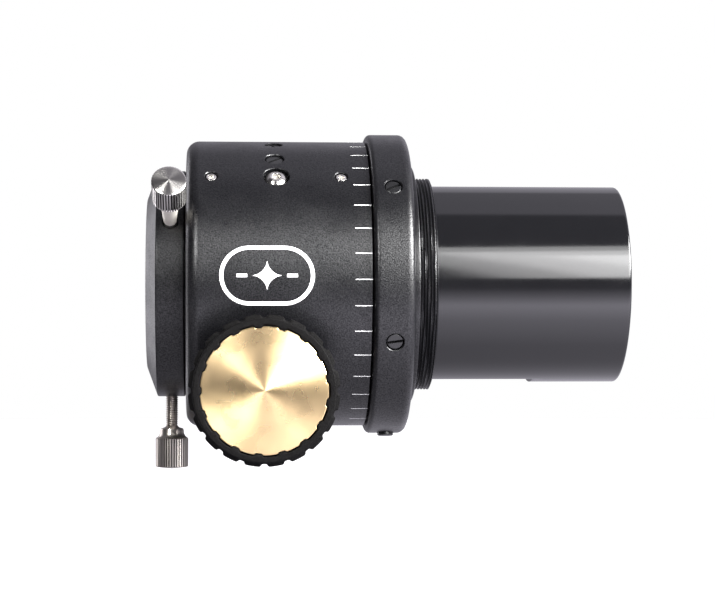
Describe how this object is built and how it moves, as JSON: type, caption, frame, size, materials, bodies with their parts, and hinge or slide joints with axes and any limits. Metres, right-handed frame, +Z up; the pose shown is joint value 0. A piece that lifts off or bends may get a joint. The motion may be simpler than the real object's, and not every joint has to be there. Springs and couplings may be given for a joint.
{
  "type": "telescope focuser",
  "caption": "Rotatable 2-inch telescope focuser: a friction-driven drawtube in a turning housing, with an eyepiece clamp and coaxial knobs",
  "frame": {"origin": "on the optical axis, in the telescope-side face of the collar ring", "axes": "+X along the optical axis towards the telescope, -X towards the eyepiece, +Z up with the drive shaft below the tube, -Y towards the near knob"},
  "size_m": [0.1504, 0.135, 0.1071],
  "materials": {
    "black_anodised": "fine bead-blasted black anodising",
    "gloss_black": "smooth glossy black anodising",
    "black_screw": "black oxide",
    "stainless": "bright turned stainless steel",
    "track_steel": "ground stainless steel",
    "brass": "turned brass",
    "bronze": "sintered bronze",
    "rubber": "moulded matte rubber",
    "white_plastic": "low-friction plastic"
  },
  "bodies": {
    "mount_ring": {"collar_ring": "black_anodised", "thread_adapter": "black_anodised", "glide_ring": "white_plastic", "collar_screw_1": "black_screw", "collar_screw_2": "black_screw", "collar_screw_3": "black_screw", "collar_screw_4": "black_screw", "collar_screw_5": "black_screw", "collar_screw_6": "black_screw"},
    "housing": {"focuser_housing": "black_anodised", "roller_carrier_near": "black_anodised", "roller_carrier_far": "black_anodised", "roller_axle_near_1": "stainless", "roller_axle_near_2": "stainless", "roller_axle_far_1": "stainless", "roller_axle_far_2": "stainless", "carrier_set_screw_near_1": "stainless", "carrier_set_screw_near_2": "stainless", "carrier_set_screw_far_1": "stainless", "carrier_set_screw_far_2": "stainless", "carrier_screw_near": "stainless", "carrier_screw_far": "stainless", "housing_screw_1": "black_screw", "housing_screw_2": "black_screw", "shaft_bush_near": "bronze", "shaft_bush_far": "bronze", "pressure_pad": "white_plastic"},
    "drawtube_unit": {"drawtube": "gloss_black", "track_strip": "track_steel", "track_screw": "stainless", "clamp_body": "black_anodised", "compression_ring": "brass"},
    "coarse_drive": {"drive_shaft": "stainless", "knob_core_near": "black_anodised", "knob_face_near": "brass", "knob_grip_near": "rubber", "knob_core_far": "black_anodised", "knob_grip_far": "rubber", "reducer_body": "black_anodised"},
    "fine_drive": {"fine_knob": "brass", "fine_knob_grip": "rubber"},
    "tension_tip_unit": {"tension_tip": "brass"},
    "tension_screw_unit": {"tension_screw": "black_screw"},
    "lock_tip_unit": {"lock_tip": "brass"},
    "lock_screw_unit": {"lock_screw": "black_screw"},
    "roller_near_1_unit": {"roller_near_1": "stainless"},
    "roller_near_2_unit": {"roller_near_2": "stainless"},
    "roller_far_1_unit": {"roller_far_1": "stainless"},
    "roller_far_2_unit": {"roller_far_2": "stainless"},
    "clamp_tip_1_unit": {"clamp_tip_1": "brass"},
    "clamp_screw_1_unit": {"clamp_thumbscrew_1": "stainless"},
    "clamp_tip_2_unit": {"clamp_tip_2": "brass"},
    "clamp_screw_2_unit": {"clamp_thumbscrew_2": "stainless"},
    "clamp_tip_3_unit": {"clamp_tip_3": "brass"},
    "clamp_screw_3_unit": {"clamp_thumbscrew_3": "stainless"}
  },
  "joints": [
    {"name": "housing_turn", "type": "hinge", "parent": "mount_ring", "child": "housing", "pos_m": [0, 0, 0], "axis": [1, 0, 0], "continuous": true},
    {"name": "drawtube_slide", "type": "slide", "parent": "housing", "child": "drawtube_unit", "axis": [-1, 0, 0], "range_m": [0, 0.072]},
    {"name": "coarse_turn", "type": "hinge", "parent": "housing", "child": "coarse_drive", "pos_m": [-0.046, 0, -0.0328], "axis": [0, -1, 0], "range_deg": [0, 2063]},
    {"name": "fine_turn", "type": "hinge", "parent": "housing", "child": "fine_drive", "pos_m": [-0.046, 0, -0.0328], "axis": [0, -1, 0], "range_deg": [0, 20630]},
    {"name": "roller_near_1_turn", "type": "hinge", "parent": "housing", "child": "roller_near_1_unit", "pos_m": [-0.0617, -0.02531, 0.02531], "axis": [0, 0.7071, 0.7071], "range_deg": [0, 1032]},
    {"name": "roller_near_2_turn", "type": "hinge", "parent": "housing", "child": "roller_near_2_unit", "pos_m": [-0.0219, -0.02531, 0.02531], "axis": [0, 0.7071, 0.7071], "range_deg": [0, 1032]},
    {"name": "roller_far_1_turn", "type": "hinge", "parent": "housing", "child": "roller_far_1_unit", "pos_m": [-0.0617, 0.02531, 0.02531], "axis": [0, 0.7071, -0.7071], "range_deg": [0, 1032]},
    {"name": "roller_far_2_turn", "type": "hinge", "parent": "housing", "child": "roller_far_2_unit", "pos_m": [-0.0219, 0.02531, 0.02531], "axis": [0, 0.7071, -0.7071], "range_deg": [0, 1032]},
    {"name": "clamp_screw_1_advance", "type": "slide", "parent": "drawtube_unit", "child": "clamp_tip_1_unit", "axis": [0, 0.866, -0.5], "range_m": [-0.0035, 0.0021]},
    {"name": "clamp_screw_1_turn", "type": "hinge", "parent": "clamp_tip_1_unit", "child": "clamp_screw_1_unit", "pos_m": [-0.0742, -0.03897, 0.0225], "axis": [0, 0.866, -0.5], "range_deg": [-1800.5, 1080.5]},
    {"name": "clamp_screw_2_advance", "type": "slide", "parent": "drawtube_unit", "child": "clamp_tip_2_unit", "axis": [0, 0, 1], "range_m": [-0.0035, 0.0021]},
    {"name": "clamp_screw_2_turn", "type": "hinge", "parent": "clamp_tip_2_unit", "child": "clamp_screw_2_unit", "pos_m": [-0.0742, 0, -0.045], "axis": [0, 0, 1], "range_deg": [-1800.5, 1080.5]},
    {"name": "clamp_screw_3_advance", "type": "slide", "parent": "drawtube_unit", "child": "clamp_tip_3_unit", "axis": [0, -0.866, -0.5], "range_m": [-0.0035, 0.0021]},
    {"name": "clamp_screw_3_turn", "type": "hinge", "parent": "clamp_tip_3_unit", "child": "clamp_screw_3_unit", "pos_m": [-0.0742, 0.03897, 0.0225], "axis": [0, -0.866, -0.5], "range_deg": [-1800.5, 1080.5]},
    {"name": "tension_screw_advance", "type": "slide", "parent": "housing", "child": "tension_tip_unit", "axis": [0, 0, 1], "range_m": [-0.0021, 0]},
    {"name": "tension_screw_turn", "type": "hinge", "parent": "tension_tip_unit", "child": "tension_screw_unit", "pos_m": [-0.046, 0, -0.045], "axis": [0, 0, 1], "range_deg": [-1080.5, 0]},
    {"name": "lock_screw_advance", "type": "slide", "parent": "housing", "child": "lock_tip_unit", "axis": [0, 0, 1], "range_m": [-0.0014, 0.0007]},
    {"name": "lock_screw_turn", "type": "hinge", "parent": "lock_tip_unit", "child": "lock_screw_unit", "pos_m": [-0.0345, 0, -0.045], "axis": [0, 0, 1], "range_deg": [-720.5, 360.5]}
  ],
  "couplings": [
    {"joint": "coarse_turn", "follows": "drawtube_slide", "rad_per_m": 500},
    {"joint": "fine_turn", "follows": "drawtube_slide", "rad_per_m": 5000},
    {"joint": "roller_near_1_turn", "follows": "drawtube_slide", "rad_per_m": 250},
    {"joint": "roller_near_2_turn", "follows": "drawtube_slide", "rad_per_m": 250},
    {"joint": "roller_far_1_turn", "follows": "drawtube_slide", "rad_per_m": 250},
    {"joint": "roller_far_2_turn", "follows": "drawtube_slide", "rad_per_m": 250},
    {"joint": "clamp_screw_1_turn", "follows": "clamp_screw_1_advance", "rad_per_m": 8976},
    {"joint": "clamp_screw_2_turn", "follows": "clamp_screw_2_advance", "rad_per_m": 8976},
    {"joint": "clamp_screw_3_turn", "follows": "clamp_screw_3_advance", "rad_per_m": 8976},
    {"joint": "tension_screw_turn", "follows": "tension_screw_advance", "rad_per_m": 8976},
    {"joint": "lock_screw_turn", "follows": "lock_screw_advance", "rad_per_m": 8976}
  ]
}
